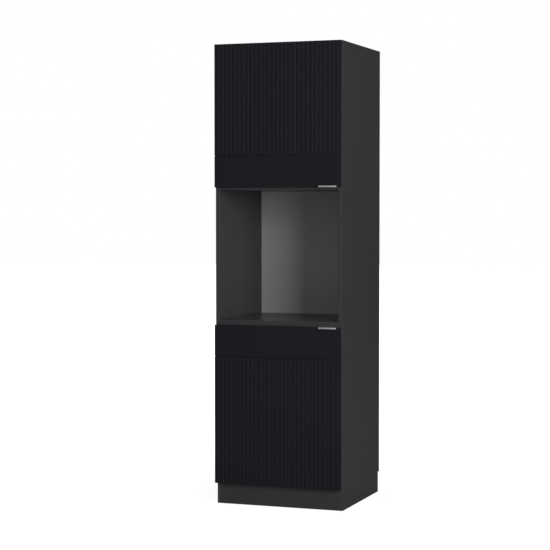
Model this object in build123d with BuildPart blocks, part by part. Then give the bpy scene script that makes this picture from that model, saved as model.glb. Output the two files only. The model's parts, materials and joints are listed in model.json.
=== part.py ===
import os

from build123d import *

# Tall oven housing cabinet. X runs to the right, Y to the wall, Z up, in millimetres.
# The origin is on the floor, at the middle of the overall width and depth.

# Carcass
cabinet_width = 600.0
cabinet_height = 2085.0
carcass_depth = 580.0
board = 16.0
oven_shelf_thickness = 25.0
board_edge_round = 0.8
niche_floor_height = 841.0
niche_height = 586.0

# Plinth in front and skirting cut-out behind
plinth_height = 94.0
plinth_setback = 18.0
plinth_thickness = 16.0
skirting_height = 94.0
skirting_depth = 18.0

# Thin back panels, let into grooves ahead of a service gap
back_thickness = 3.0
service_gap = 34.0
groove_depth = 8.0
groove_play = 0.1
back_edge_play = 0.5
back_screw_spacing = 192.0
back_screws_per_row = 3
back_screw_edge = 4.0
back_screw_radius = 1.5
back_screw_length = 14.0
back_screw_head_radius = 2.8
back_screw_head = 1.6

# Rail behind the upper back panel that takes the wall screws
rail_height = 80.0
rail_thickness = 16.0
wall_hole_spacing = 480.0
wall_hole_radius = 3.5

# Adjustable shelves and their pins
shelf_setback = 30.0
shelf_rear_gap = 23.0
shelf_side_play = 1.0
upper_shelf_rise = 300.0
lower_shelf_rise = 340.0
pin_radius = 2.5
pin_reach = 9.0
pin_socket_depth = 10.0
pin_collar_radius = 3.8
pin_collar = 0.8
pin_inset = 60.0
pin_step = 32.0
pin_holes_each_way = 1

# Cam locks, their bolts and the wood dowels
connector_inset = 45.0
dowel_offset = 32.0
cam_axis_depth = 8.0
cam_radius = 7.5
cam_height = 12.5
cam_inset = 34.0
bolt_radius = 3.0
bolt_head_radius = 3.5
bolt_head_length = 3.0
bolt_thread_radius = 2.5
bolt_thread_length = 11.0
dowel_radius = 4.0
dowel_side_length = 10.0
dowel_board_length = 22.0
end_dowel_spacing = 44.0
bore_play = 0.5
fit_play = 0.05

# Doors
door_thickness = 18.0
door_gap = 2.0
door_reveal = 1.5
lower_door_lift = 4.0
lower_door_drop = 22.5
upper_door_rise = 12.5
upper_door_reveal = 1.5
rear_edge_round = 1.0
front_edge_round = 1.0
band_height = 140.0
band_groove_width = 6.0
band_groove_depth = 5.0
flute_pitch = 20.26
flute_width = 7.0
flute_depth = 3.0

# Edge pulls, each a bent strip that hooks over the door's edge
handle_length = 83.0
handle_edge_inset = 14.0
handle_sheet = 1.5
handle_reach = 14.0
handle_lip = 7.5
handle_flange = 24.0
handle_screw_inset = 14.0
handle_screw_spacing = 50.0
handle_screw_radius = 1.75
handle_screw_length = 12.0
handle_screw_head_radius = 3.2
handle_screw_head = 1.8

# Bumpers that stop each door at the carcass edge
bumper_radius = 4.0
bumper_side_inset = 8.0
bumper_end_inset = 30.0

# Cup hinges with one pivot pin
hinge_inset = 96.0
pivot_from_edge = 7.0
pivot_depth = 11.0
pivot_radius = 1.2
pivot_play = 0.05
knuckle_radius = 2.2
knuckle_play = 0.3
knuckle_width = 9.0
ear_gap = 0.6
ear_thickness = 1.6
ear_width = 4.0
ear_height = 4.6
cup_radius = 17.5
cup_tab = 3.0
cup_wall = 0.6
cup_floor = 0.5
flange_thickness = 1.0
flange_tab = 12.0
flange_width = 24.0
flange_height = 56.0
flange_round = 5.0
cup_screw_offset = 9.5
cup_screw_spacing = 45.0
cup_screw_radius = 1.75
cup_screw_length = 11.0
cup_screw_head_radius = 3.2
cup_screw_head = 0.6

# Hinge arms and their mounting plates on the left side panel
swing_clearance = 1.0
hook_thickness = 2.4
neck_thickness = 2.5
arm_width = 16.0
arm_height = 9.0
arm_sheet = 1.5
arm_setback = 16.0
arm_length = 56.0
plate_height = 4.0
ridge_height = 4.0
ridge_play = 0.3
wing_thickness = 2.5
wing_setback = 27.0
wing_width = 20.0
wing_height = 54.0
wing_round = 4.0
plate_screw_spacing = 32.0
plate_screw_radius = 2.5
plate_screw_length = 11.0
plate_screw_head_radius = 4.5
plate_screw_head = 1.5
arm_screw_inset = 12.0
arm_screw_radius = 2.0
arm_screw_tip = 1.0
arm_screw_head_radius = 3.5
arm_screw_head = 1.8

# Places worked out from the sizes above
overall_depth = carcass_depth + door_gap + door_thickness + handle_reach
rear_y = overall_depth / 2
front_y = rear_y - carcass_depth
back_y = rear_y - service_gap - back_thickness
inner_half = cabinet_width / 2 - board
top_z = cabinet_height - board
base_top_z = plinth_height + board
shelf_under_z = niche_floor_height - oven_shelf_thickness
ceiling_z = niche_floor_height + niche_height
ceiling_top_z = ceiling_z + board

door_half = cabinet_width / 2 - door_reveal
door_rear_y = front_y - door_gap
door_front_y = door_rear_y - door_thickness
door_middle_y = (door_rear_y + door_front_y) / 2
lower_door_bottom = plinth_height + lower_door_lift
lower_door_top = niche_floor_height - lower_door_drop
upper_door_bottom = ceiling_z + upper_door_rise
upper_door_top = cabinet_height - upper_door_reveal
lower_hinges = (lower_door_bottom + hinge_inset, lower_door_top - hinge_inset)
upper_hinges = (upper_door_bottom + hinge_inset, upper_door_top - hinge_inset)
hinge_levels = lower_hinges + upper_hinges
flute_radius = (flute_width**2 / 4 + flute_depth**2) / (2 * flute_depth)
flute_count = int((2 * (door_half - front_edge_round) - flute_width) / flute_pitch) + 1
handle_x = door_half - handle_edge_inset - handle_length / 2

pivot_x = pivot_from_edge - door_half
pivot_y = door_rear_y - pivot_depth
cup_x = cup_tab + cup_radius - door_half
cup_inner_depth = pivot_depth + knuckle_radius + knuckle_play
cup_depth = cup_inner_depth + cup_floor
neck_x = pivot_x + pivot_depth + swing_clearance
arm_x = plate_height - inner_half
arm_front_y = front_y + arm_setback
arm_rear_y = arm_front_y + arm_length
arm_screw_rows = (arm_front_y + arm_screw_inset, arm_rear_y - arm_screw_inset)
wing_y = front_y + wing_setback + wing_width / 2

# Each cross board: underside, thickness, rear edge, the face with its cams and the way into it
cross_boards = {
    "top_panel": (top_z, board, rear_y, top_z, 1),
    "niche_ceiling_panel": (ceiling_z, board, back_y, ceiling_top_z, -1),
    "oven_shelf": (shelf_under_z, oven_shelf_thickness, back_y, shelf_under_z, 1),
    "base_panel": (plinth_height, board, rear_y, plinth_height, 1),
}
back_grooves = {"top_panel": (top_z, 1), "base_panel": (base_top_z, -1)}
bolt_levels = {name: face + way * cam_axis_depth for name, (*_, face, way) in cross_boards.items()}
bolt_rows = (front_y + connector_inset, back_y - connector_inset)
dowel_rows = (bolt_rows[0] + dowel_offset, bolt_rows[1] - dowel_offset)
bolt_places = [(y, z) for z in bolt_levels.values() for y in bolt_rows]
dowel_places = [(y, z) for z in bolt_levels.values() for y in dowel_rows]

# The plinth board and the wall rail are doweled to the side panels too
plinth_y = front_y + plinth_setback + plinth_thickness / 2
rail_y = rear_y - rail_thickness / 2
rail_z = top_z - rail_height / 2
end_steps = (-end_dowel_spacing / 2, end_dowel_spacing / 2)
plinth_dowels = [(plinth_y, plinth_height / 2 + step) for step in end_steps]
rail_dowels = [(rail_y, rail_z + step) for step in end_steps]
dowel_places += plinth_dowels + rail_dowels

# Back panels meet behind the middle of the oven shelf and of the niche ceiling
low_joint_z = shelf_under_z + oven_shelf_thickness / 2
high_joint_z = ceiling_z + board / 2
back_screw_rows = [(0, z + way * back_screw_edge) for z in (low_joint_z, high_joint_z) for way in (-1, 1)]

# Adjustable shelves rest on four pins each, with spare pin holes above and below
shelf_levels = {
    "upper_shelf": ceiling_top_z + upper_shelf_rise,
    "lower_shelf": base_top_z + lower_shelf_rise,
}
shelf_front_y = front_y + shelf_setback
shelf_rear_y = back_y - shelf_rear_gap
pin_rows = (shelf_front_y + pin_inset, shelf_rear_y - pin_inset)
pin_places = [(y, z - pin_radius) for z in shelf_levels.values() for y in pin_rows]
pin_steps = range(-pin_holes_each_way, pin_holes_each_way + 1)
pin_holes = [(y, z + step * pin_step) for y, z in pin_places for step in pin_steps]


def inner_face(side):
    """Plane on a side panel's inner face, looking outwards, with local Y up."""
    return Plane(origin=(side * inner_half, 0, 0), x_dir=(0, side, 0), z_dir=(side, 0, 0))


def facing(places, side):
    """Depth and height pairs in the coordinates of that side's inner face."""
    return [(side * y, z) for y, z in places]


def door_rear(height):
    """Plane on the doors' rear face at a height, looking into the door, with local Y up."""
    return Plane(origin=(0, door_rear_y, height), x_dir=(1, 0, 0), z_dir=(0, -1, 0))


def upright(depth):
    """Upright plane at a depth, looking forward, with local X to the right and local Y up."""
    return Plane(origin=(0, depth, 0), x_dir=(1, 0, 0), z_dir=(0, -1, 0))


def save(builder, name):
    builder.part.label = name
    export_step(builder.part, f"parts/{name}.step")


def make_side_panel(name, side, hinges):
    with BuildPart() as panel:
        with BuildSketch(inner_face(side)):
            with Locations((side * (front_y + rear_y) / 2, cabinet_height / 2)):
                Rectangle(carcass_depth, cabinet_height)
            with Locations((side * (front_y + plinth_setback / 2), plinth_height / 2)):
                Rectangle(plinth_setback, plinth_height, mode=Mode.SUBTRACT)
            with Locations((side * (rear_y - skirting_depth / 2), skirting_height / 2)):
                Rectangle(skirting_depth, skirting_height, mode=Mode.SUBTRACT)
        extrude(amount=board)
        fillet(panel.faces().sort_by(Axis.Y)[0].edges().filter_by(Axis.Z), board_edge_round)
        # groove for the back panels
        with BuildSketch(inner_face(side)):
            with Locations((side * (back_y + back_thickness / 2), (base_top_z + top_z) / 2)):
                Rectangle(back_thickness + 2 * groove_play, top_z - base_top_z + 2 * groove_depth)
        extrude(amount=groove_depth, mode=Mode.SUBTRACT)
        # bores for bolts, dowels and shelf pins
        with BuildSketch(inner_face(side)):
            with Locations(*facing(bolt_places, side)):
                Circle(bolt_thread_radius + fit_play)
        extrude(amount=bolt_thread_length + bore_play, mode=Mode.SUBTRACT)
        with BuildSketch(inner_face(side)):
            with Locations(*facing(dowel_places, side)):
                Circle(dowel_radius + fit_play)
        extrude(amount=dowel_side_length + bore_play, mode=Mode.SUBTRACT)
        with BuildSketch(inner_face(side)):
            with Locations(*facing(pin_holes, side)):
                Circle(pin_radius + fit_play)
        extrude(amount=pin_socket_depth, mode=Mode.SUBTRACT)
        if hinges:
            with BuildSketch(inner_face(side)):
                with Locations(*facing([(wing_y, z) for z in hinges], side)):
                    with GridLocations(0, plate_screw_spacing, 1, 2):
                        Circle(plate_screw_radius + fit_play)
            extrude(amount=plate_screw_length + bore_play, mode=Mode.SUBTRACT)
    save(panel, name)


def make_cross_board(name):
    bottom, thickness, rear_edge, cam_face, way = cross_boards[name]
    with BuildPart() as cross_board:
        with BuildSketch(Plane.XY.offset(bottom)):
            with Locations((0, (front_y + rear_edge) / 2)):
                Rectangle(2 * inner_half, rear_edge - front_y)
        extrude(amount=thickness)
        fillet(cross_board.faces().sort_by(Axis.Y)[0].edges().filter_by(Axis.X), board_edge_round)
        # end bores for bolts and dowels
        for side in (-1, 1):
            with BuildSketch(inner_face(side)):
                with Locations(*facing([(y, bolt_levels[name]) for y in bolt_rows], side)):
                    Circle(bolt_head_radius + bore_play)
            extrude(amount=-cam_inset, mode=Mode.SUBTRACT)
            with BuildSketch(inner_face(side)):
                with Locations(*facing([(y, bolt_levels[name]) for y in dowel_rows], side)):
                    Circle(dowel_radius + fit_play)
            extrude(amount=-dowel_board_length - bore_play, mode=Mode.SUBTRACT)
        # round pockets for the cams
        with BuildSketch(Plane.XY.offset(cam_face)):
            for y in bolt_rows:
                with Locations((0, y)):
                    with GridLocations(2 * (inner_half - cam_inset), 0, 2, 1):
                        Circle(cam_radius + fit_play)
        extrude(amount=way * cam_height, mode=Mode.SUBTRACT)
        if name in back_grooves:
            groove_z, groove_way = back_grooves[name]
            with BuildSketch(Plane.XY.offset(groove_z)):
                with Locations((0, back_y + back_thickness / 2)):
                    Rectangle(2 * inner_half, back_thickness + 2 * groove_play)
            extrude(amount=groove_way * groove_depth, mode=Mode.SUBTRACT)
        else:
            with BuildSketch(upright(rear_edge)):
                with Locations(*[(x, z) for x, z in back_screw_rows if bottom < z < bottom + thickness]):
                    with GridLocations(back_screw_spacing, 0, back_screws_per_row, 1):
                        Circle(back_screw_radius + fit_play)
            extrude(amount=back_screw_length + bore_play, mode=Mode.SUBTRACT)
    save(cross_board, name)


def make_back_panel(name, low, high, wall_holes):
    with BuildPart() as panel:
        with BuildSketch(upright(back_y + back_thickness)):
            with Locations((0, (low + high) / 2)):
                Rectangle(2 * (inner_half + groove_depth - back_edge_play), high - low)
            with Locations(*[(x, z) for x, z in back_screw_rows if low < z < high]):
                with GridLocations(back_screw_spacing, 0, back_screws_per_row, 1):
                    Circle(back_screw_radius + fit_play, mode=Mode.SUBTRACT)
            if wall_holes:
                with Locations((0, rail_z)):
                    with GridLocations(wall_hole_spacing, 0, 2, 1):
                        Circle(wall_hole_radius, mode=Mode.SUBTRACT)
        extrude(amount=back_thickness)
    save(panel, name)


def make_shelf(name):
    with BuildPart() as shelf:
        with BuildSketch(Plane.XY.offset(shelf_levels[name])):
            with Locations((0, (shelf_front_y + shelf_rear_y) / 2)):
                Rectangle(2 * (inner_half - shelf_side_play), shelf_rear_y - shelf_front_y)
        extrude(amount=board)
        fillet(shelf.faces().sort_by(Axis.Y)[0].edges().filter_by(Axis.X), board_edge_round)
    save(shelf, name)


def make_door(name, bottom, top, band_below, hinges):
    edge, way = (bottom, 1) if band_below else (top, -1)
    groove_z = edge + way * (band_height + band_groove_width / 2)
    field = (groove_z, top) if band_below else (bottom, groove_z)
    handle_edge = bottom if band_below else top
    with BuildPart() as door:
        with BuildSketch(Plane.XY.offset(bottom)):
            with Locations((0, door_middle_y)):
                Rectangle(2 * door_half, door_thickness)
        extrude(amount=top - bottom)
        fillet(door.edges().filter_by(Axis.Z).group_by(Axis.Y)[-1], rear_edge_round)
        fillet(door.faces().sort_by(Axis.Y)[0].edges(), front_edge_round)
        # flutes, and the groove that parts them from the plain band
        with BuildSketch(Plane.XY.offset(field[0])):
            with Locations((0, door_front_y + flute_depth - flute_radius)):
                with GridLocations(flute_pitch, 0, flute_count, 1):
                    Circle(flute_radius)
        extrude(amount=field[1] - field[0], mode=Mode.SUBTRACT)
        with BuildSketch(upright(door_front_y)):
            with Locations((0, groove_z)):
                Rectangle(2 * door_half, band_groove_width)
        extrude(amount=-band_groove_depth, mode=Mode.SUBTRACT)
        # bores for the hinge cups, their screws and the handle's screws
        for level in hinges:
            with BuildSketch(door_rear(level)):
                with Locations((cup_x, 0)):
                    Circle(cup_radius + fit_play)
            extrude(amount=cup_depth, mode=Mode.SUBTRACT)
            with BuildSketch(door_rear(level)):
                with Locations((cup_x + cup_screw_offset, 0)):
                    with GridLocations(0, cup_screw_spacing, 1, 2):
                        Circle(cup_screw_radius + fit_play)
            extrude(amount=cup_screw_length + bore_play, mode=Mode.SUBTRACT)
        with BuildSketch(door_rear(handle_edge + way * handle_screw_inset)):
            with Locations((handle_x, 0)):
                with GridLocations(handle_screw_spacing, 0, 2, 1):
                    Circle(handle_screw_radius + fit_play)
        extrude(amount=handle_screw_length + bore_play, mode=Mode.SUBTRACT)
    save(door, name)


def make_handle(name, edge, way):
    """A strip on the inner line flange, edge, lip. way is 1 where the door lies above its edge."""
    lip_y = door_front_y - handle_reach + handle_sheet
    with BuildPart() as handle:
        with BuildSketch(Plane.YZ.offset(handle_x - handle_length / 2)):
            with BuildLine():
                Polyline(
                    (door_rear_y, edge + way * handle_flange),
                    (door_rear_y, edge),
                    (lip_y, edge),
                    (lip_y, edge + way * (handle_lip - handle_sheet)),
                )
                outer = Side.LEFT if way > 0 else Side.RIGHT
                offset(amount=handle_sheet, side=outer, kind=Kind.ARC)
            make_face()
        extrude(amount=handle_length)
        with BuildSketch(door_rear(edge + way * handle_screw_inset)):
            with Locations((handle_x, 0)):
                with GridLocations(handle_screw_spacing, 0, 2, 1):
                    Circle(handle_screw_radius + fit_play)
        extrude(amount=-handle_sheet, mode=Mode.SUBTRACT)
    save(handle, name)


def make_handle_screws(name, edge, way):
    with BuildPart() as screws:
        with BuildSketch(door_rear(edge + way * handle_screw_inset).offset(-handle_sheet)):
            with Locations((handle_x, 0)):
                with GridLocations(handle_screw_spacing, 0, 2, 1):
                    Circle(handle_screw_radius)
        extrude(amount=handle_screw_length + handle_sheet)
        with BuildSketch(door_rear(edge + way * handle_screw_inset).offset(-handle_sheet)):
            with Locations((handle_x, 0)):
                with GridLocations(handle_screw_spacing, 0, 2, 1):
                    Circle(handle_screw_head_radius)
        extrude(amount=-handle_screw_head)
    save(screws, name)


def make_bumpers(name, bottom, top):
    with BuildPart() as bumpers:
        with BuildSketch(door_rear((bottom + top) / 2)):
            with Locations((door_half - bumper_side_inset, 0)):
                with GridLocations(0, top - bottom - 2 * bumper_end_inset, 1, 2):
                    Circle(bumper_radius)
        extrude(amount=-door_gap)
    save(bumpers, name)


def make_hinge_cups(name, levels):
    ear_step = knuckle_width / 2 + ear_gap
    with BuildPart() as cups:
        for level in levels:
            with BuildSketch(door_rear(level)):
                with Locations((cup_x, 0)):
                    Circle(cup_radius)
            extrude(amount=cup_depth)
            with BuildSketch(door_rear(level)):
                with Locations((flange_tab + flange_width / 2 - door_half, 0)):
                    RectangleRounded(flange_width, flange_height, flange_round)
            extrude(amount=-flange_thickness)
            with BuildSketch(door_rear(level).offset(-flange_thickness)):
                with Locations((cup_x, 0)):
                    Circle(cup_radius - cup_wall)
            extrude(amount=flange_thickness + cup_inner_depth, mode=Mode.SUBTRACT)
            # ears that hold the pin, standing on the cup's floor
            with BuildSketch(door_rear(level).offset(cup_inner_depth)):
                with Locations((pivot_x, 0)):
                    with GridLocations(0, 2 * ear_step + ear_thickness, 1, 2):
                        Rectangle(ear_width, ear_thickness)
            extrude(amount=-ear_height)
            with BuildSketch(Plane.XY.offset(level - ear_step - ear_thickness)):
                with Locations((pivot_x, pivot_y)):
                    Circle(pivot_radius + fit_play)
            extrude(amount=2 * (ear_step + ear_thickness), mode=Mode.SUBTRACT)
            with BuildSketch(door_rear(level)):
                with Locations((cup_x + cup_screw_offset, 0)):
                    with GridLocations(0, cup_screw_spacing, 1, 2):
                        Circle(cup_screw_radius + fit_play)
            extrude(amount=-flange_thickness, mode=Mode.SUBTRACT)
    save(cups, name)


def make_hinge_pins(name, levels):
    half = knuckle_width / 2 + ear_gap + ear_thickness
    with BuildPart() as pins:
        for level in levels:
            with BuildSketch(Plane.XY.offset(level - half)):
                with Locations((pivot_x, pivot_y)):
                    Circle(pivot_radius)
            extrude(amount=2 * half)
    save(pins, name)


def make_cup_screws(name, levels):
    with BuildPart() as screws:
        for level in levels:
            with BuildSketch(door_rear(level).offset(-flange_thickness)):
                with Locations((cup_x + cup_screw_offset, 0)):
                    with GridLocations(0, cup_screw_spacing, 1, 2):
                        Circle(cup_screw_radius)
            extrude(amount=flange_thickness + cup_screw_length)
            with BuildSketch(door_rear(level).offset(-flange_thickness)):
                with Locations((cup_x + cup_screw_offset, 0)):
                    with GridLocations(0, cup_screw_spacing, 1, 2):
                        Circle(cup_screw_head_radius)
            extrude(amount=-cup_screw_head)
    save(screws, name)


os.makedirs("parts", exist_ok=True)

# Boards of the carcass
make_side_panel("side_panel_left", -1, hinge_levels)
make_side_panel("side_panel_right", 1, ())
for board_name in cross_boards:
    make_cross_board(board_name)
for shelf_name in shelf_levels:
    make_shelf(shelf_name)
back_low_z = base_top_z - groove_depth + back_edge_play
back_high_z = top_z + groove_depth - back_edge_play
half_play = back_edge_play / 2
make_back_panel("lower_back_panel", back_low_z, low_joint_z - half_play, False)
make_back_panel("niche_back_panel", low_joint_z + half_play, high_joint_z - half_play, False)
make_back_panel("upper_back_panel", high_joint_z + half_play, back_high_z, True)

with BuildPart() as plinth_board:
    with BuildSketch(Plane.XY):
        with Locations((0, plinth_y)):
            Rectangle(2 * inner_half, plinth_thickness)
    extrude(amount=plinth_height)
    for side in (-1, 1):
        with BuildSketch(inner_face(side)):
            with Locations(*facing(plinth_dowels, side)):
                Circle(dowel_radius + fit_play)
        extrude(amount=-dowel_board_length - bore_play, mode=Mode.SUBTRACT)
save(plinth_board, "plinth_board")

with BuildPart() as wall_rail:
    with BuildSketch(upright(rear_y)):
        with Locations((0, rail_z)):
            Rectangle(2 * inner_half, rail_height)
            with GridLocations(wall_hole_spacing, 0, 2, 1):
                Circle(wall_hole_radius, mode=Mode.SUBTRACT)
    extrude(amount=rail_thickness)
    for side in (-1, 1):
        with BuildSketch(inner_face(side)):
            with Locations(*facing(rail_dowels, side)):
                Circle(dowel_radius + fit_play)
        extrude(amount=-dowel_board_length - bore_play, mode=Mode.SUBTRACT)
save(wall_rail, "wall_rail")

# Fittings that hold the boards together
with BuildPart() as wood_dowels:
    for side in (-1, 1):
        with BuildSketch(inner_face(side).offset(dowel_side_length)):
            with Locations(*facing(dowel_places, side)):
                Circle(dowel_radius)
        extrude(amount=-dowel_side_length - dowel_board_length)
save(wood_dowels, "wood_dowels")

with BuildPart() as cam_bolts:
    for side in (-1, 1):
        with BuildSketch(inner_face(side).offset(bolt_thread_length)):
            with Locations(*facing(bolt_places, side)):
                Circle(bolt_thread_radius)
        extrude(amount=-bolt_thread_length)
        with BuildSketch(inner_face(side)):
            with Locations(*facing(bolt_places, side)):
                Circle(bolt_radius)
        extrude(amount=-cam_inset)
        with BuildSketch(inner_face(side).offset(-cam_inset)):
            with Locations(*facing(bolt_places, side)):
                Circle(bolt_head_radius)
        extrude(amount=-bolt_head_length)
save(cam_bolts, "cam_bolts")

with BuildPart() as cam_locks:
    for *_, cam_face, way in cross_boards.values():
        with BuildSketch(Plane.XY.offset(cam_face)):
            for y in bolt_rows:
                with Locations((0, y)):
                    with GridLocations(2 * (inner_half - cam_inset), 0, 2, 1):
                        Circle(cam_radius)
        extrude(amount=way * cam_height)
    # the mouth that takes the head of the bolt
    for side in (-1, 1):
        with BuildSketch(inner_face(side).offset(-cam_inset - bolt_head_length)):
            with Locations(*facing(bolt_places, side)):
                Circle(bolt_head_radius + fit_play)
        extrude(amount=cam_radius + bolt_head_length, mode=Mode.SUBTRACT)
save(cam_locks, "cam_locks")

with BuildPart() as shelf_pins:
    for side in (-1, 1):
        with BuildSketch(inner_face(side).offset(pin_reach)):
            with Locations(*facing(pin_places, side)):
                Circle(pin_radius)
        extrude(amount=-2 * pin_reach)
        with BuildSketch(inner_face(side)):
            with Locations(*facing(pin_places, side)):
                Circle(pin_collar_radius)
        extrude(amount=-pin_collar)
save(shelf_pins, "shelf_pins")

with BuildPart() as back_screws:
    with BuildSketch(upright(back_y + back_thickness)):
        with Locations(*back_screw_rows):
            with GridLocations(back_screw_spacing, 0, back_screws_per_row, 1):
                Circle(back_screw_radius)
    extrude(amount=back_thickness + back_screw_length)
    with BuildSketch(upright(back_y + back_thickness)):
        with Locations(*back_screw_rows):
            with GridLocations(back_screw_spacing, 0, back_screws_per_row, 1):
                Circle(back_screw_head_radius)
    extrude(amount=-back_screw_head)
save(back_screws, "back_screws")

# Hinge halves on the carcass
with BuildPart() as hinge_plates:
    for level in hinge_levels:
        plate_face = inner_face(-1).offset(-plate_height)
        with BuildSketch(inner_face(-1)):
            with Locations(*facing([(wing_y, level)], -1)):
                RectangleRounded(wing_width, wing_height, wing_round)
        extrude(amount=-wing_thickness)
        with BuildSketch(inner_face(-1)):
            with Locations(*facing([((arm_front_y + arm_rear_y) / 2, level)], -1)):
                Rectangle(arm_length, arm_width)
        extrude(amount=-plate_height)
        ridge_front = arm_front_y + arm_sheet + ridge_play
        with BuildSketch(plate_face):
            with Locations(*facing([((ridge_front + arm_rear_y) / 2, level)], -1)):
                Rectangle(arm_rear_y - ridge_front, arm_width - 2 * (arm_sheet + ridge_play))
        extrude(amount=-ridge_height)
        with BuildSketch(inner_face(-1)):
            with Locations(*facing([(wing_y, level)], -1)):
                with GridLocations(0, plate_screw_spacing, 1, 2):
                    Circle(plate_screw_radius + fit_play)
        extrude(amount=-wing_thickness, mode=Mode.SUBTRACT)
        with BuildSketch(inner_face(-1).offset(-arm_screw_tip)):
            with Locations(*facing([(y, level) for y in arm_screw_rows], -1)):
                Circle(arm_screw_radius + fit_play)
        extrude(amount=-plate_height - ridge_height, mode=Mode.SUBTRACT)
save(hinge_plates, "hinge_plates")

with BuildPart() as hinge_plate_screws:
    for level in hinge_levels:
        with BuildSketch(inner_face(-1).offset(plate_screw_length)):
            with Locations(*facing([(wing_y, level)], -1)):
                with GridLocations(0, plate_screw_spacing, 1, 2):
                    Circle(plate_screw_radius)
        extrude(amount=-plate_screw_length - wing_thickness)
        with BuildSketch(inner_face(-1).offset(-wing_thickness)):
            with Locations(*facing([(wing_y, level)], -1)):
                with GridLocations(0, plate_screw_spacing, 1, 2):
                    Circle(plate_screw_head_radius)
        extrude(amount=-plate_screw_head)
save(hinge_plate_screws, "hinge_plate_screws")

with BuildPart() as hinge_arms:
    for level in hinge_levels:
        # goose neck: knuckle, hook and neck in plan, as wide as the knuckle
        with BuildSketch(Plane.XY.offset(level - knuckle_width / 2)):
            with Locations((pivot_x, pivot_y)):
                Circle(knuckle_radius)
            with Locations(((pivot_x + neck_x + neck_thickness) / 2, pivot_y)):
                Rectangle(neck_x + neck_thickness - pivot_x, hook_thickness)
            neck_front = pivot_y - hook_thickness / 2
            neck_rear = arm_front_y + arm_sheet
            with Locations((neck_x + neck_thickness / 2, (neck_front + neck_rear) / 2)):
                Rectangle(neck_thickness, neck_rear - neck_front)
            with Locations((pivot_x, pivot_y)):
                Circle(pivot_radius + pivot_play, mode=Mode.SUBTRACT)
        extrude(amount=knuckle_width)
        # channel that sits on the mounting plate, closed at its front end
        with BuildSketch(Plane.XY.offset(level - arm_width / 2)):
            with Locations((arm_x + arm_height / 2, (arm_front_y + arm_rear_y) / 2)):
                Rectangle(arm_height, arm_length)
        extrude(amount=arm_width)
        with BuildSketch(Plane.XY.offset(level - arm_width / 2 + arm_sheet)):
            with Locations((arm_x + (arm_height - arm_sheet) / 2, (neck_rear + arm_rear_y) / 2)):
                Rectangle(arm_height - arm_sheet, arm_rear_y - neck_rear)
        extrude(amount=arm_width - 2 * arm_sheet, mode=Mode.SUBTRACT)
        with BuildSketch(inner_face(-1).offset(-plate_height - arm_height)):
            with Locations(*facing([(y, level) for y in arm_screw_rows], -1)):
                Circle(arm_screw_radius + fit_play)
        extrude(amount=arm_sheet, mode=Mode.SUBTRACT)
save(hinge_arms, "hinge_arms")

with BuildPart() as hinge_arm_screws:
    for level in hinge_levels:
        with BuildSketch(inner_face(-1).offset(-arm_screw_tip)):
            with Locations(*facing([(y, level) for y in arm_screw_rows], -1)):
                Circle(arm_screw_radius)
        extrude(amount=-plate_height - arm_height + arm_screw_tip)
        with BuildSketch(inner_face(-1).offset(-plate_height - arm_height)):
            with Locations(*facing([(y, level) for y in arm_screw_rows], -1)):
                Circle(arm_screw_head_radius)
        extrude(amount=-arm_screw_head)
save(hinge_arm_screws, "hinge_arm_screws")

# Doors and what moves with them. Bands and handles are beside the niche.
make_door("upper_door", upper_door_bottom, upper_door_top, True, upper_hinges)
make_door("lower_door", lower_door_bottom, lower_door_top, False, lower_hinges)
make_handle("upper_handle", upper_door_bottom, 1)
make_handle("lower_handle", lower_door_top, -1)
make_handle_screws("upper_handle_screws", upper_door_bottom, 1)
make_handle_screws("lower_handle_screws", lower_door_top, -1)
for door_name, door_bottom, door_top, levels in (
    ("upper", upper_door_bottom, upper_door_top, upper_hinges),
    ("lower", lower_door_bottom, lower_door_top, lower_hinges),
):
    make_bumpers(f"{door_name}_door_bumpers", door_bottom, door_top)
    make_hinge_cups(f"{door_name}_hinge_cups", levels)
    make_hinge_pins(f"{door_name}_hinge_pins", levels)
    make_cup_screws(f"{door_name}_cup_screws", levels)
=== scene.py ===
import json
import math

import bmesh
import bpy
from mathutils import Matrix, Vector


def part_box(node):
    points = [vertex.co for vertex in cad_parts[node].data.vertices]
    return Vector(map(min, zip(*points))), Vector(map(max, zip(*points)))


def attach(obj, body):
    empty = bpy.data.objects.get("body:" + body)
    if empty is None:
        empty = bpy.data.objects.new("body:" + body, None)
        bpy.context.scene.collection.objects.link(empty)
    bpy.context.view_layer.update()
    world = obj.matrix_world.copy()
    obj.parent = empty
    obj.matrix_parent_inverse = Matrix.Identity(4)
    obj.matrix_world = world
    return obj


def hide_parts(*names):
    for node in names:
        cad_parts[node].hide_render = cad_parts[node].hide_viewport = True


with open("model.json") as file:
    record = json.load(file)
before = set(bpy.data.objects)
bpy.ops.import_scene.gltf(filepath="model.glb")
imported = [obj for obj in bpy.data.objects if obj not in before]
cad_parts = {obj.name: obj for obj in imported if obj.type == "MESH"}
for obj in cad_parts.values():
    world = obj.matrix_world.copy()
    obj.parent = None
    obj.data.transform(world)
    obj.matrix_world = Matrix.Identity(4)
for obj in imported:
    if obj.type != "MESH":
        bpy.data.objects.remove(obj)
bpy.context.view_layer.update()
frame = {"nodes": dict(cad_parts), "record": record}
nodes = frame["nodes"]
bodyOf = {node: body for body, held in frame["record"]["behaviour"]["bodies"].items() for node in held}
slotOf = {row["node"]: row["material_slot"] for row in frame["record"]["subparts"]}


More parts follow.
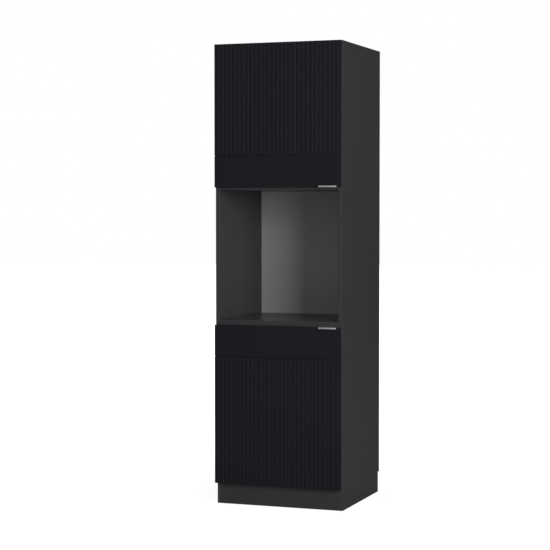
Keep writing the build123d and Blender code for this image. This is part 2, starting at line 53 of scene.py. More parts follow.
# Shader maths: an expression on wrapped sockets adds its nodes to their tree
class Shade:
    def __init__(self, tree, socket=None):
        self.tree = tree
        self.socket = socket

    def node(self, kind, settings=None, inputs=None, out=0):
        made = self.tree.nodes.new(kind)
        for key, value in (settings or {}).items():
            setattr(made, key, value)
        for key, value in (inputs or {}).items():
            if isinstance(value, Shade):
                self.tree.links.new(value.socket, made.inputs[key])
            else:
                made.inputs[key].default_value = value
        return Shade(self.tree, made.outputs[out] if made.outputs else None)

    def math(self, operation, *values):
        return self.node("ShaderNodeMath", {"operation": operation}, dict(enumerate(values)))

    def __add__(self, other):
        return self.math("ADD", self, other)

    def __radd__(self, other):
        return self.math("ADD", other, self)

    def __sub__(self, other):
        return self.math("SUBTRACT", self, other)

    def __rsub__(self, other):
        return self.math("SUBTRACT", other, self)

    def __mul__(self, other):
        return self.math("MULTIPLY", self, other)

    def __rmul__(self, other):
        return self.math("MULTIPLY", other, self)

    def __gt__(self, other):
        return self.math("GREATER_THAN", self, other)

    def __lt__(self, other):
        return self.math("LESS_THAN", self, other)

    def __or__(self, other):
        return self.math("MAXIMUM", self, other)

    def near(self, place, reach):
        return self.math("COMPARE", self, place, reach)

    def axes(self):
        return [self.node("ShaderNodeSeparateXYZ", None, {0: self}, axis) for axis in "XYZ"]

    def mix(self, first, second):  # this value blends two colours
        colours = [c if isinstance(c, Shade) else (*c, 1.0) for c in (first, second)]
        settings = {"data_type": "RGBA", "clamp_factor": True}
        return self.node("ShaderNodeMix", settings, {0: self, 6: colours[0], 7: colours[1]}, 2)


def objectPlace(shade):
    return shade.node("ShaderNodeTexCoord", None, None, "Object")


def noise(shade, place, scale, detail=2.0, rough=0.5):
    inputs = {"Vector": place, "Scale": scale, "Detail": detail, "Roughness": rough}
    return shade.node("ShaderNodeTexNoise", None, inputs)


def spread(pattern, width):  # a noise pattern about its middle, as a change of this width
    middle = 0.5
    return (pattern - middle) * width


def shared(first, second, share):  # two patterns, the first with this share
    return first * share + second * (1.0 - share)


def stretched(shade, place, scale):
    return shade.node("ShaderNodeMapping", None, {"Vector": place, "Scale": scale})


def bumped(shade, height, strength, distance):
    return shade.node("ShaderNodeBump", None, {"Height": height, "Strength": strength, "Distance": distance})


def between(shade, value, low, high):  # 0 at low, 1 at high
    return shade.node("ShaderNodeMapRange", None, {"Value": value, "From Min": low, "From Max": high})


def newMaterial(name):
    material = bpy.data.materials.new(name)
    material.use_nodes = True
    material.node_tree.nodes.clear()
    return material, Shade(material.node_tree)


def surfaceOf(shade, inputs):
    body = shade.node("ShaderNodeBsdfPrincipled", None, inputs)
    shade.node("ShaderNodeOutputMaterial", None, {"Surface": body})


# In the finishes below, detail is a noise's detail and roughness, or its detail alone,
# range is where a pattern goes from its first colour to its second,
# and bump is a strength and a depth in metres

# Boards: pearl textured decor on the faces, a glued band on the front edge, sawn chipboard behind and below
laminate = {
    "colour": (0.0335, 0.0335, 0.0339),
    "fleck": (0.0405, 0.0405, 0.0409),
    "band": (0.0330, 0.0330, 0.0352),
    "bandWidth": 0.0009,
    "glueLine": 0.00012,
    "glueColour": (0.012, 0.012, 0.012),
    "pearlScale": 900.0,
    "pearlDetail": 3.0,
    "pearlShare": 0.6,  # the rest is cloud
    "pearlRelief": 0.3,
    "cloudScale": 3.0,
    "roughness": 0.3,
    "roughSpread": 0.1,
    "specular": 0.2,
    "bump": (0.3, 0.0003),
    "matt": {"top_panel": (0.6, 0.03)},  # roughness and specular of a board with a duller face
    "endRoughness": 0.9,  # upper ends of the side panels
    "paintedLightScale": {  # painted light and shade: some boards made brighter or darker than the common decor, standing in for how the light falls on them
        "oven_shelf": 1.68, "side_panel_left": 1.18, "side_panel_right": 1.04, "plinth_board": 0.96,
    },
}
chipboard = {
    "dark": (0.17, 0.105, 0.055),
    "pale": (0.50, 0.37, 0.22),
    "flakeScale": 330.0,
    "flakeStretch": (1.0, 0.6, 1.0),
    "flakeDetail": (4.0, 0.7),
    "flakeRange": (0.35, 0.66),
    "roughness": 0.85,
    "rim": 0.0004,
    "skirtingNotch": (0.018, 0.094),  # depth and height at the rear foot of a side panel
    "unbanded": ("plinth_board", "wall_rail"),  # sawn above and below instead
}


def sawnMask(place, node):
    low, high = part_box(node)
    rim = chipboard["rim"]
    _, depth, height = place.axes()
    if node in chipboard["unbanded"]:
        return (height < low.z + rim) | (height > high.z - rim)
    sawn = depth > high.y - rim
    if node.startswith("side_panel"):
        notchDepth, notchHeight = chipboard["skirtingNotch"]
        notch = (depth > high.y - notchDepth - rim) * (height < notchHeight + rim)
        sawn = sawn | notch | (height < low.z + rim)
    return sawn


def boardMaterial(node):
    material, shade = newMaterial(node + "Laminate")
    place = objectPlace(shade)
    pearl = noise(shade, place, laminate["pearlScale"], laminate["pearlDetail"])
    cloud = noise(shade, place, laminate["cloudScale"])
    # painted light: this board's decor is scaled brighter or darker by how the light falls on it
    paintedLightScale = laminate["paintedLightScale"].get(node, 1.0)
    shades = [[paintedLightScale * c for c in laminate[key]] for key in ("colour", "fleck")]
    colour = shared(pearl, cloud, laminate["pearlShare"]).mix(*shades)
    if node not in chipboard["unbanded"]:
        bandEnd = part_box(node)[0].y + laminate["bandWidth"]
        depth = place.axes()[1]
        colour = (depth < bandEnd).mix(colour, laminate["band"])
        colour = depth.near(bandEnd, laminate["glueLine"]).mix(colour, laminate["glueColour"])
    sawn = sawnMask(place, node)
    flakePlace = stretched(shade, place, chipboard["flakeStretch"])
    flakes = noise(shade, flakePlace, chipboard["flakeScale"], *chipboard["flakeDetail"])
    wood = between(shade, flakes, *chipboard["flakeRange"]).mix(chipboard["dark"], chipboard["pale"])
    roughness, specular = laminate["matt"].get(node, (laminate["roughness"], laminate["specular"]))
    rough = roughness + spread(pearl, laminate["roughSpread"]) + sawn * (chipboard["roughness"] - roughness)
    if node.startswith("side_panel"):
        upperEnd = place.axes()[2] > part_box(node)[1].z - chipboard["rim"]
        rough = rough + upperEnd * (laminate["endRoughness"] - roughness)
    surfaceOf(shade, {
        "Base Color": sawn.mix(colour, wood),
        "Roughness": rough,
        "Specular IOR Level": specular,
        "Normal": bumped(shade, pearl * laminate["pearlRelief"] + sawn * flakes, *laminate["bump"]),
    })
    return material


# Doors: dark blue black foil in front and round the edges, plain decor behind
doorFoil = {
    "colour": (0.0076, 0.0071, 0.0112),
    "fleck": (0.0089, 0.0083, 0.0128),
    "rear": (0.0270, 0.0270, 0.0276),
    "rearFleck": (0.0330, 0.0330, 0.0336),
    "rearRim": 0.0004,
    "fluteRim": 0.0004,
    "fluteRoughness": 0.18,  # added behind the front face: in the flutes, on the edges and at the rear
    "grainScale": 1400.0,
    "grainDetail": 3.0,
    "grainShare": 0.5,  # the rest is cloud
    "cloudScale": 4.0,
    "roughness": 0.42,
    "roughSpread": 0.12,
    "specular": 0.145,
    "bump": (0.12, 0.0001),
}


def doorMaterial(node):
    material, shade = newMaterial(node + "Foil")
    place = objectPlace(shade)
    grain = noise(shade, place, doorFoil["grainScale"], doorFoil["grainDetail"])
    cloud = noise(shade, place, doorFoil["cloudScale"])
    blotch = shared(grain, cloud, doorFoil["grainShare"])
    low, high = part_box(node)
    depth = place.axes()[1]
    behind = depth > high.y - doorFoil["rearRim"]
    sunk = depth > low.y + doorFoil["fluteRim"]
    front = blotch.mix(doorFoil["colour"], doorFoil["fleck"])
    rear = blotch.mix(doorFoil["rear"], doorFoil["rearFleck"])
    rough = doorFoil["roughness"] + spread(grain, doorFoil["roughSpread"]) + sunk * doorFoil["fluteRoughness"]
    surfaceOf(shade, {
        "Base Color": behind.mix(front, rear),
        "Roughness": rough,
        "Specular IOR Level": doorFoil["specular"],
        "Normal": bumped(shade, grain, *doorFoil["bump"]),
    })
    return material


# Thin back panels: grey lacquer towards the room, bare brown fibreboard towards the wall
backBoard = {
    "colour": (0.35, 0.35, 0.352),
    "fleck": (0.39, 0.39, 0.392),
    "fibreDark": (0.085, 0.048, 0.025),
    "fibrePale": (0.190, 0.118, 0.066),
    "lacquer": 0.0012,
    "grainScale": 600.0,
    "grainDetail": 3.0,
    "grainRelief": 0.3,
    "fibreScale": 260.0,
    "fibreStretch": (1.0, 1.0, 0.35),
    "fibreDetail": (5.0, 0.7),
    "fibreRange": (0.3, 0.7),
    "roughness": 0.55,
    "roughSpread": 0.1,
    "bareRoughness": 0.2,  # added on the bare side
    "specular": 0.2,
    "bump": (0.3, 0.0002),
}


def backMaterial(node):
    material, shade = newMaterial(node + "Fibreboard")
    place = objectPlace(shade)
    grain = noise(shade, place, backBoard["grainScale"], backBoard["grainDetail"])
    fibrePlace = stretched(shade, place, backBoard["fibreStretch"])
    fibres = noise(shade, fibrePlace, backBoard["fibreScale"], *backBoard["fibreDetail"])
    bare = place.axes()[1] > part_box(node)[0].y + backBoard["lacquer"]
    lacquer = grain.mix(backBoard["colour"], backBoard["fleck"])
    paleShare = between(shade, fibres, *backBoard["fibreRange"])
    brown = paleShare.mix(backBoard["fibreDark"], backBoard["fibrePale"])
    rough = backBoard["roughness"] + spread(grain, backBoard["roughSpread"])
    surfaceOf(shade, {
        "Base Color": bare.mix(lacquer, brown),
        "Roughness": rough + bare * backBoard["bareRoughness"],
        "Specular IOR Level": backBoard["specular"],
        "Normal": bumped(shade, grain * backBoard["grainRelief"] + bare * fibres, *backBoard["bump"]),
    })
    return material


# Edge pulls: aluminium brushed along its length
handleMetal = {
    "colour": (0.58, 0.58, 0.585),
    "streak": (0.65, 0.65, 0.655),
    "brushing": (12.0, 2600.0, 2600.0),
    "brushDetail": 3.0,
    "roughness": 0.36,
    "roughSpread": 0.16,
    "bump": (0.05, 0.0001),
}


def handleMaterial():
    material, shade = newMaterial("handleMetal")
    brushPlace = stretched(shade, objectPlace(shade), handleMetal["brushing"])
    brushed = noise(shade, brushPlace, 1.0, handleMetal["brushDetail"])
    surfaceOf(shade, {
        "Base Color": brushed.mix(handleMetal["colour"], handleMetal["streak"]),
        "Metallic": 1.0,
        "Roughness": handleMetal["roughness"] + spread(brushed, handleMetal["roughSpread"]),
        "Normal": bumped(shade, brushed, *handleMetal["bump"]),
    })
    return material


# Plated fittings: satin nickel on the hinges, zinc on the screws, dull die casting on the cams
fittingMetal = {
    "hinge_steel": {
        "colour": (0.72, 0.70, 0.67), "dull": 0.97, "roughness": 0.46,
        "speckle": 500.0, "bump": (0.03, 0.0001),
    },
    "screw_steel": {
        "colour": (0.67, 0.68, 0.70), "dull": 0.94, "roughness": 0.45,
        "speckle": 700.0, "bump": (0.05, 0.0001),
    },
    "cam_metal": {
        "colour": (0.43, 0.43, 0.44), "dull": 0.86, "roughness": 0.50,
        "speckle": 900.0, "bump": (0.20, 0.0001),
    },
}
fittingSpeckle = {"detail": 3.0, "roughSpread": 0.06}


def fittingMaterial(slotName):
    look = fittingMetal[slotName]
    material, shade = newMaterial(slotName)
    speckle = noise(shade, objectPlace(shade), look["speckle"], fittingSpeckle["detail"])
    surfaceOf(shade, {
        "Base Color": speckle.mix([look["dull"] * c for c in look["colour"]], look["colour"]),
        "Metallic": 1.0,
        "Roughness": look["roughness"] + spread(speckle, fittingSpeckle["roughSpread"]),
        "Normal": bumped(shade, speckle, *look["bump"]),
    })
    return material


dowelBeech = {
    "pale": (0.60, 0.42, 0.25),
    "dark": (0.40, 0.25, 0.13),
    "grain": (60.0, 900.0, 900.0),
    "grainDetail": (4.0, 0.6),
    "grainRange": (0.3, 0.7),
    "roughness": 0.6,
    "roughSpread": 0.2,
    "bump": (0.3, 0.0001),
}


def beechMaterial():
    material, shade = newMaterial("dowelBeech")
    grainPlace = stretched(shade, objectPlace(shade), dowelBeech["grain"])
    grain = noise(shade, grainPlace, 1.0, *dowelBeech["grainDetail"])
    paleShare = between(shade, grain, *dowelBeech["grainRange"])
    surfaceOf(shade, {
        "Base Color": paleShare.mix(dowelBeech["dark"], dowelBeech["pale"]),
        "Roughness": dowelBeech["roughness"] + spread(grain, dowelBeech["roughSpread"]),
        "Normal": bumped(shade, grain, *dowelBeech["bump"]),
    })
    return material


bumperPad = {
    "colour": (0.60, 0.60, 0.585),
    "haze": (0.70, 0.70, 0.69),
    "hazeScale": 500.0,
    "roughness": 0.32,
    "roughSpread": 0.2,
    "milkiness": 0.25,
    "milkDepth": 0.002,
}


def padMaterial():
    material, shade = newMaterial("bumperPad")
    haze = noise(shade, objectPlace(shade), bumperPad["hazeScale"])
    surfaceOf(shade, {
        "Base Color": haze.mix(bumperPad["colour"], bumperPad["haze"]),
        "Roughness": bumperPad["roughness"] + spread(haze, bumperPad["roughSpread"]),
        "Subsurface Weight": bumperPad["milkiness"],
        "Subsurface Scale": bumperPad["milkDepth"],
    })
    return material


perNode = {"carcass_laminate": boardMaterial, "door_front": doorMaterial, "back_board": backMaterial}
finishes = {slotName: fittingMaterial(slotName) for slotName in fittingMetal}
finishes.update(handle_metal=handleMaterial(), dowel_beech=beechMaterial(), bumper_pad=padMaterial())
for node, slotName in slotOf.items():
    meshData = nodes[node].data
    meshData.materials.clear()
    meshData.materials.append(perNode[slotName](node) if slotName in perNode else finishes[slotName])
print("materials:", len(bpy.data.materials))


# Mesh helpers
sharpAngle = 36.0  # degrees, as are the next two
flatAngle = 0.5  # triangles that turn less than this are one flat face
curveAngle = 0.1  # faces that turn more than this, and less than sharpAngle, are a curve
samePlace = 1e-6  # metres, as are the next two
sameMeasure = 1e-5
cutReach = 1e-7
crossTaper = 0.55  # floor of a driver's cross, of its mouth


def mergedCopy(node):  # a CAD node's triangles joined again
    bm = bmesh.new()
    bm.from_mesh(nodes[node].data)
    bmesh.ops.remove_doubles(bm, verts=bm.verts, dist=samePlace)
    return bm


def wholeFaces(bm):  # flat triangles become one face again
    bmesh.ops.dissolve_limit(bm, angle_limit=math.radians(flatAngle), verts=bm.verts, edges=bm.edges)


def looseSolids(node):  # the points of each separate solid of a node
    bm = mergedCopy(node)
    bm.verts.index_update()
    seen = set()
    solids = []
    for seed in bm.verts:
        if seed.index in seen:
            continue
        seen.add(seed.index)
        reached = [seed]
        for vert in reached:
            for edge in vert.link_edges:
                other = edge.other_vert(vert)
                if other.index not in seen:
                    seen.add(other.index)
                    reached.append(other)
        solids.append([vert.co.copy() for vert in reached])
    bm.free()
    return solids


class Turned:  # a round solid measured along the way that its seen end points
    def __init__(self, points, way):
        self.way = Vector(way)
        along = [point.dot(self.way) for point in points]
        low, high = [Vector([pick(p[i] for p in points) for i in range(3)]) for pick in (min, max)]
        middle = (low + high) / 2
        across = [((p - middle) - self.way * (p - middle).dot(self.way)).length for p in points]
        self.length = max(along) - min(along)
        self.radius = max(across)
        self.top = middle + self.way * self.length / 2
        self.tipRadius = max(a for a, s in zip(across, along) if s < min(along) + sameMeasure)
        wide = [max(along) - s for a, s in zip(across, along) if a > self.tipRadius + sameMeasure]
        self.wideStart = min(wide, default=0.0)  # head or collar, from the seen end
        self.wideEnd = max(wide, default=0.0)

    def matrix(self):
        return Matrix.Translation(self.top) @ self.way.to_track_quat("Z", "Y").to_matrix().to_4x4()


def spun(outline, steps):  # (radius, height) points turned about Z
    bm = bmesh.new()
    verts = [bm.verts.new((radius, 0.0, height)) for radius, height in outline]
    edges = [bm.edges.new(pair) for pair in zip(verts, verts[1:])]
    bmesh.ops.spin(
        bm, geom=verts + edges, axis=(0, 0, 1), cent=(0, 0, 0), angle=2 * math.pi, steps=steps, use_merge=True
    )
    bmesh.ops.remove_doubles(bm, verts=bm.verts, dist=samePlace)
    bmesh.ops.recalc_face_normals(bm, faces=bm.faces)
    return bm


def ringEdges(bm, radius, height):  # the round edge of a turned shape at a radius and height
    found = []
    for edge in bm.edges:
        level = all(abs(v.co.z - height) < samePlace for v in edge.verts)
        if level and all(abs(v.co.xy.length - radius) < samePlace for v in edge.verts):
            found.append(edge)
    return found


def rounded(bm, edges, offset, segments):
    made = bmesh.ops.bevel(
        bm, geom=edges, offset=offset, segments=segments, profile=0.5, affect="EDGES", clamp_overlap=True,
        material=-1,
    )
    for face in made["faces"]:
        face.smooth = True


def smoothCurves(bm):  # a face that meets a neighbour gently is part of a curve
    for face in bm.faces:
        turns = [math.degrees(edge.calc_face_angle(0.0)) for edge in face.edges]
        face.smooth = any(curveAngle < turn < sharpAngle for turn in turns)


def raisedFaces(bm, faces, keep):  # extrudes faces in place and gives the new corners and faces
    made = bmesh.ops.extrude_face_region(bm, geom=faces)["geom"]
    old = [] if keep else [face for face in faces if face.is_valid]
    bmesh.ops.delete(bm, geom=old, context="FACES")
    verts = [part for part in made if isinstance(part, bmesh.types.BMVert)]
    return verts, [part for part in made if isinstance(part, bmesh.types.BMFace)]


def crossRecess(bm, faces, centre, way, reach, width, depth):  # a driver's cross sunk into a flat face
    first = way.orthogonal().normalized()
    second = way.cross(first)
    for side in (first, second):
        for step in (-reach, -width, width, reach):
            cut = set(faces)
            for face in faces:
                cut.update(face.edges)
                cut.update(face.verts)
            found = bmesh.ops.bisect_plane(
                bm, geom=list(cut), dist=cutReach, plane_co=centre + side * step, plane_no=side
            )
            faces = [part for part in found["geom"] if isinstance(part, bmesh.types.BMFace)]
    cross = []
    for face in faces:
        offset = face.calc_center_median() - centre
        near, far = sorted((abs(offset.dot(first)), abs(offset.dot(second))))
        if near < width and far < reach:
            cross.append(face)
    verts, _ = raisedFaces(bm, cross, False)
    taper = Matrix.Translation(centre) @ Matrix.Scale(crossTaper, 4) @ Matrix.Translation(-centre)
    bmesh.ops.transform(bm, matrix=taper, verts=verts)
    bmesh.ops.translate(bm, vec=-way * depth, verts=verts)


def repeated(shape, matrices):  # the same shape at each place, in one mesh
    one = bpy.data.meshes.new("oneShape")
    shape.to_mesh(one)
    shape.free()
    group = bmesh.new()
    for matrix in matrices:
        count = len(group.verts)
        group.from_mesh(one)
        group.verts.ensure_lookup_table()
        bmesh.ops.transform(group, matrix=matrix, verts=group.verts[count:])
    bpy.data.meshes.remove(one)
    return group


def addPiece(bm, name, node):  # takes the node's place, body and finish
    for edge in bm.edges:
        edge.smooth = math.degrees(edge.calc_face_angle(0.0)) < sharpAngle
    mesh = bpy.data.meshes.new(name)
    bm.to_mesh(mesh)
    bm.free()
    mesh.materials.append(finishes[slotOf[node]])
    piece = bpy.data.objects.new(name, mesh)
    bpy.context.scene.collection.objects.link(piece)
    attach(piece, bodyOf[node])
    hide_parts(node)


# Screws: rounded head with a cross recess, wound thread, point
screws = {
    "nodes": {  # the way that each head points
        "back_screws": (0, 1, 0), "hinge_plate_screws": (1, 0, 0), "hinge_arm_screws": (1, 0, 0),
        "upper_cup_screws": (0, 1, 0), "lower_cup_screws": (0, 1, 0),
        "upper_handle_screws": (0, 1, 0), "lower_handle_screws": (0, 1, 0),
    },
    "steps": 28,
    "crown": 0.75,  # rounding, of the head's height
    "crownSegments": 4,
    "core": 0.74,  # of the shank's radius, as are pitch and point
    "pitch": 0.85,
    "point": 1.3,
    "threadSteps": 14,
    "threadRoot": 0.92,  # where a ridge starts, of the core's radius
    "threadHalf": 0.3,  # half of a ridge's foot, of the pitch
    "crossReach": 0.55,  # of the head's radius, as is the width
    "crossWidth": 0.14,
    "crossDepth": 0.8,  # of the head's height
}


def threadRidge(bm, core, crest, start, end, pitch):  # one ridge wound down a shank
    steps = screws["threadSteps"]
    turns = max(1, int((start - end) / pitch))
    root, half = screws["threadRoot"] * core, screws["threadHalf"] * pitch
    section = [(root, half), (crest, 0.0), (root, -half)]
    verts = [bm.verts.new((radius, 0.0, start + rise)) for radius, rise in section]
    face = bm.faces.new(verts)
    bmesh.ops.spin(
        bm, geom=[face, *face.edges, *verts], axis=(0, 0, 1), cent=(0, 0, 0), dvec=(0, 0, -pitch / steps),
        angle=2 * math.pi * turns, steps=steps * turns,
    )
    bmesh.ops.recalc_face_normals(bm, faces=bm.faces)


def makeScrews(node, way):
    solids = [Turned(points, way) for points in looseSolids(node)]
    one = solids[0]
    head, core = one.wideEnd, screws["core"] * one.tipRadius
    pitch, point = screws["pitch"] * one.tipRadius, screws["point"] * one.tipRadius
    outline = [(0.0, 0.0), (one.radius, 0.0), (one.radius, -head), (core, -head)]
    outline += [(core, point - one.length), (0.0, -one.length)]
    bm = spun(outline, screws["steps"])
    rounded(bm, ringEdges(bm, one.radius, 0.0), screws["crown"] * head, screws["crownSegments"])
    top = [face for face in bm.faces if all(abs(v.co.z) < samePlace for v in face.verts)]
    top = bmesh.ops.dissolve_faces(bm, faces=top)["region"]
    reach, width = screws["crossReach"] * one.radius, screws["crossWidth"] * one.radius
    crossRecess(bm, top, Vector((0, 0, 0)), Vector((0, 0, 1)), reach, width, screws["crossDepth"] * head)
    threadRidge(bm, core, one.tipRadius, -head - pitch, point - one.length, pitch)
    smoothCurves(bm)
    addPiece(repeated(bm, [solid.matrix() for solid in solids]), node + "_threaded", node)


for node, way in screws["nodes"].items():
    makeScrews(node, way)
print("screws:", len(screws["nodes"]), "groups")


# Cam locks: rim round a sunk face with a driver's cross
camFace = {
    "boards": {  # 0 where the faces lie flush with a board's underside, 1 with its upper side
        "top_panel": 0, "niche_ceiling_panel": 1, "oven_shelf": 0, "base_panel": 0,
    },
    "upright": 0.99,  # least share of Z in the normal of such a face
    "rim": 0.0011,
    "sink": 0.0004,
    "crossReach": 0.0042,
    "crossWidth": 0.0011,
    "crossDepth": 0.0026,
}


def makeCamLocks():
    bm = mergedCopy("cam_locks")
    wholeFaces(bm)
    levels = [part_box(board)[side].z for board, side in camFace["boards"].items()]
    discs = []
    for face in bm.faces:
        height = face.calc_center_median().z
        flush = min(abs(height - level) for level in levels) < sameMeasure
        if flush and abs(face.normal.z) > camFace["upright"]:
            discs.append(face)
    for disc in discs:
        way = disc.normal.copy()
        centre = disc.calc_center_median() - way * camFace["sink"]
        bmesh.ops.inset_region(bm, faces=[disc], thickness=camFace["rim"], depth=0.0, use_even_offset=True)
        bmesh.ops.inset_region(bm, faces=[disc], thickness=camFace["sink"], depth=-camFace["sink"])
        sizes = [camFace[key] for key in ("crossReach", "crossWidth", "crossDepth")]
        crossRecess(bm, [disc], centre, way, *sizes)
    smoothCurves(bm)
    addPiece(bm, "cam_locks_slotted", "cam_locks")
    print("cam faces:", len(discs))


makeCamLocks()


# Shelf pins: rounded ends, collar against the side panel
shelfPin = {"steps": 24, "tipRound": 0.0008, "tipSegments": 3, "collarRound": 0.00025, "collarSegments": 2}


def makeShelfPins():
    solids = []
    for points in looseSolids("shelf_pins"):
        solids.append(Turned(points, (-1, 0, 0) if points[0].x > 0 else (1, 0, 0)))
    one = solids[0]
    pin, collar, start, end = one.tipRadius, one.radius, one.wideStart, one.wideEnd
    outline = [(0.0, 0.0), (pin, 0.0), (pin, -start), (collar, -start), (collar, -end), (pin, -end)]
    outline += [(pin, -one.length), (0.0, -one.length)]
    bm = spun(outline, shelfPin["steps"])
    ends = ringEdges(bm, pin, 0.0) + ringEdges(bm, pin, -one.length)
    rounded(bm, ends, shelfPin["tipRound"], shelfPin["tipSegments"])
    rounded(bm, ringEdges(bm, collar, -start), shelfPin["collarRound"], shelfPin["collarSegments"])
    smoothCurves(bm)
    addPiece(repeated(bm, [solid.matrix() for solid in solids]), "shelf_pins_turned", "shelf_pins")


makeShelfPins()


# Bumpers: soft domes stuck to the back of each door
bumperDome = {"steps": 32, "crown": 0.92, "crownSegments": 6}


def makeBumpers(node):
    solids = [Turned(points, (0, 1, 0)) for points in looseSolids(node)]
    one = solids[0]
    outline = [(0.0, 0.0), (one.radius, 0.0), (one.radius, -one.length), (0.0, -one.length)]
    bm = spun(outline, bumperDome["steps"])
    rounded(bm, ringEdges(bm, one.radius, 0.0), bumperDome["crown"] * one.length, bumperDome["crownSegments"])
    smoothCurves(bm)
    addPiece(repeated(bm, [solid.matrix() for solid in solids]), node + "_domed", node)


for node in ("upper_door_bumpers", "lower_door_bumpers"):
    makeBumpers(node)


# Dowels: fluted along their length, with tapered ends
dowelFlutes = {"count": 18, "depth": 0.00028, "taper": 0.0015, "tipShare": 0.84}


def makeDowels():
    solids = [Turned(points, (1, 0, 0)) for points in looseSolids("wood_dowels")]
    one = solids[0]
    bm = bmesh.new()
    bmesh.ops.create_circle(bm, cap_ends=True, radius=one.radius, segments=2 * dowelFlutes["count"])
    inner = 1.0 - dowelFlutes["depth"] / one.radius
    bmesh.ops.scale(bm, vec=(inner, inner, 1.0), verts=list(bm.verts)[::2])
    tip, taper = dowelFlutes["tipShare"], dowelFlutes["taper"]
    bmesh.ops.scale(bm, vec=(tip, tip, 1.0), verts=bm.verts)
    bmesh.ops.translate(bm, vec=(0, 0, -one.length), verts=bm.verts)
    end = list(bm.faces)
    for rise, grow in ((taper, 1 / tip), (one.length - 2 * taper, 1.0), (taper, tip)):
        verts, end = raisedFaces(bm, end, len(bm.faces) == 1)
        bmesh.ops.translate(bm, vec=(0, 0, rise), verts=verts)
        bmesh.ops.scale(bm, vec=(grow, grow, 1.0), verts=verts)
    bmesh.ops.recalc_face_normals(bm, faces=bm.faces)
    addPiece(repeated(bm, [solid.matrix() for solid in solids]), "wood_dowels_fluted", "wood_dowels")


makeDowels()


# Pressed and folded metal: the CAD form with its sharp edges broken
pressed = {
    "edgeRounds": {
        "hinge_arms": 0.0004, "hinge_plates": 0.0004,
        "upper_hinge_cups": 0.00018, "lower_hinge_cups": 0.00018,
        "upper_handle": 0.0002, "lower_handle": 0.0002,
    },
    "leastTurn": 40.0,  # degrees, edges that turn more are broken
    "segments": 2,
}


def makePressed(node, edgeRound):
    bm = mergedCopy(node)
    wholeFaces(bm)
    smoothCurves(bm)
    leastTurn = math.radians(pressed["leastTurn"])
    sharp = [edge for edge in bm.edges if len(edge.link_faces) == 2 and edge.calc_face_angle() > leastTurn]
    rounded(bm, sharp, edgeRound, pressed["segments"])
    addPiece(bm, node + "_pressed", node)


for node, edgeRound in pressed["edgeRounds"].items():
    makePressed(node, edgeRound)


# Studio: key lamp from the front right, a weaker one from the rear left, pale floor, white ground
plainWhite = (1.0, 1.0, 1.0, 1.0)
studio = {
    "keyPlace": (5.15, -4.65, 2.1),
    "aim": (0.0, 0.0, 1.1),
    "keySize": (3.6, 2.8),
    "keyPower": 398.0,
    "rearPlace": (-5.6, 4.2, 2.6),
    "rearSize": (3.0, 2.6),
    "rearPower": 200.0,
    "frontFill": 0.44,
    "rearFill": 0.05,
    "fillTurn": (0.7, -0.7),  # share of Y in a direction, from rear fill to front fill
    "backdropTurn": 20.0,  # degrees to the left of straight back, where the white sweep stands
    "backdropHalf": 16.0,
    "floorSize": 60.0,
    "floorDrop": 0.0005,
    "frontFloor": (0.66, 0.66, 0.66),
    "rearFloor": (0.18, 0.18, 0.18),
    "floorTurn": (-1.0, -0.1),  # depth over which the unseen floor goes from pale to grey
    "floorGlow": 1.5,
    "shadowShare": 0.4,
    "shadowReach": (0.5, 2.0),  # distance over which the floor's shadow fades to plain white
}


def seenAsWhite(shade, direction):  # all that the camera sees, and the sweep as shiny or clear things see it
    turn = math.radians(studio["backdropTurn"])
    behind = (-math.sin(turn), math.cos(turn), 0.0)
    level = shade.node("ShaderNodeVectorMath", {"operation": "MULTIPLY"}, {0: direction, 1: (1.0, 1.0, 0.0)})
    flat = shade.node("ShaderNodeVectorMath", {"operation": "NORMALIZE"}, {0: level})
    facing = shade.node("ShaderNodeVectorMath", {"operation": "DOT_PRODUCT"}, {0: flat, 1: behind}, 1)
    sweep = facing > math.cos(math.radians(studio["backdropHalf"]))
    camera, glossy, clear = [
        shade.node("ShaderNodeLightPath", None, None, ray)
        for ray in ("Is Camera Ray", "Is Glossy Ray", "Is Transmission Ray")
    ]
    return camera | (glossy | clear) * sweep


def makeFloor():
    mesh = bpy.data.meshes.new("studioFloor")
    bm = bmesh.new()
    bmesh.ops.create_grid(bm, x_segments=1, y_segments=1, size=studio["floorSize"] / 2)
    bmesh.ops.translate(bm, vec=(0, 0, -studio["floorDrop"]), verts=bm.verts)
    bm.to_mesh(mesh)
    bm.free()
    floor = bpy.data.objects.new("studioFloor", mesh)
    bpy.context.scene.collection.objects.link(floor)
    material, shade = newMaterial("studioFloor")
    place = objectPlace(shade)
    rearShare = between(shade, place.axes()[1], *studio["floorTurn"])
    unseen = 1.0 - shade.node("ShaderNodeLightPath", None, None, "Is Camera Ray")
    pale = (rearShare * unseen).mix(studio["frontFloor"], studio["rearFloor"])
    lit = shade.node("ShaderNodeBsdfDiffuse", None, {"Color": pale})
    white = shade.node("ShaderNodeEmission", None, {"Color": plainWhite, "Strength": studio["floorGlow"]})
    distance = shade.node("ShaderNodeVectorMath", {"operation": "LENGTH"}, {0: place}, 1)
    shadow = studio["shadowShare"] * (1.0 - between(shade, distance, *studio["shadowReach"]))
    share = seenAsWhite(shade, place) * (1.0 - shadow)
    surface = shade.node("ShaderNodeMixShader", None, {0: share, 1: lit, 2: white})
    shade.node("ShaderNodeOutputMaterial", None, {"Surface": surface})
    mesh.materials.append(material)


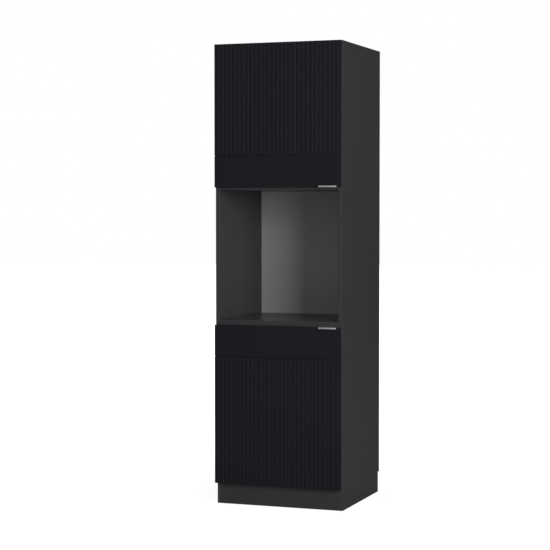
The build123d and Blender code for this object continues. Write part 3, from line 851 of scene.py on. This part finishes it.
def makeWorld():
    world = bpy.data.worlds.new("studioWorld")
    world.use_nodes = True
    world.node_tree.nodes.clear()
    shade = Shade(world.node_tree)
    direction = shade.node("ShaderNodeTexCoord", None, None, "Generated")
    rearEnd, frontEnd = studio["fillTurn"]
    front = shade.node("ShaderNodeMapRange", {"interpolation_type": "SMOOTHSTEP"}, {
        "Value": direction.axes()[1], "From Min": rearEnd, "From Max": frontEnd,
        "To Min": studio["rearFill"], "To Max": studio["frontFill"],
    })
    white = seenAsWhite(shade, direction)
    strength = white + (1.0 - white) * front
    ground = shade.node("ShaderNodeBackground", None, {"Color": plainWhite, "Strength": strength})
    shade.node("ShaderNodeOutputWorld", None, {"Surface": ground})
    bpy.context.scene.world = world


def makeLamp(name, place, size, power):
    lamp = bpy.data.lights.new(name, "AREA")
    lamp.shape = "RECTANGLE"
    lamp.size, lamp.size_y = size
    lamp.energy = power
    holder = bpy.data.objects.new(name, lamp)
    holder.location = place
    aim = Vector(studio["aim"]) - holder.location
    holder.rotation_euler = aim.to_track_quat("-Z", "Y").to_euler()
    holder.visible_camera = False
    bpy.context.scene.collection.objects.link(holder)


makeFloor()
makeWorld()
makeLamp("keyLamp", studio["keyPlace"], studio["keySize"], studio["keyPower"])
makeLamp("rearLamp", studio["rearPlace"], studio["rearSize"], studio["rearPower"])

# Camera, looking slightly down, with a small shift
photoView = {
    "place": (2.5292, -7.1462, 1.34),
    "turn": 20.305,  # degrees, as is the tilt
    "tilt": 2.148,
    "sensor": 36.0,  # millimetres
    "focalPixels": 1637.5,
    "framePixels": 550.0,
    "axisPixel": (275.0, 271.0),
}


def makeCamera():
    data = bpy.data.cameras.new("photoCamera")
    data.sensor_width = photoView["sensor"]
    data.lens = data.sensor_width * photoView["focalPixels"] / photoView["framePixels"]
    middle = photoView["framePixels"] / 2
    axisX, axisY = photoView["axisPixel"]
    data.shift_x = (middle - axisX) / photoView["framePixels"]
    data.shift_y = (axisY - middle) / photoView["framePixels"]
    camera = bpy.data.objects.new("photoCamera", data)
    camera.location = photoView["place"]
    camera.rotation_euler = (math.radians(90.0 - photoView["tilt"]), 0.0, math.radians(photoView["turn"]))
    bpy.context.scene.collection.objects.link(camera)
    bpy.context.scene.camera = camera


makeCamera()
bpy.context.scene.view_settings.view_transform = "Standard"
print("studio: lamps, floor, world and camera")
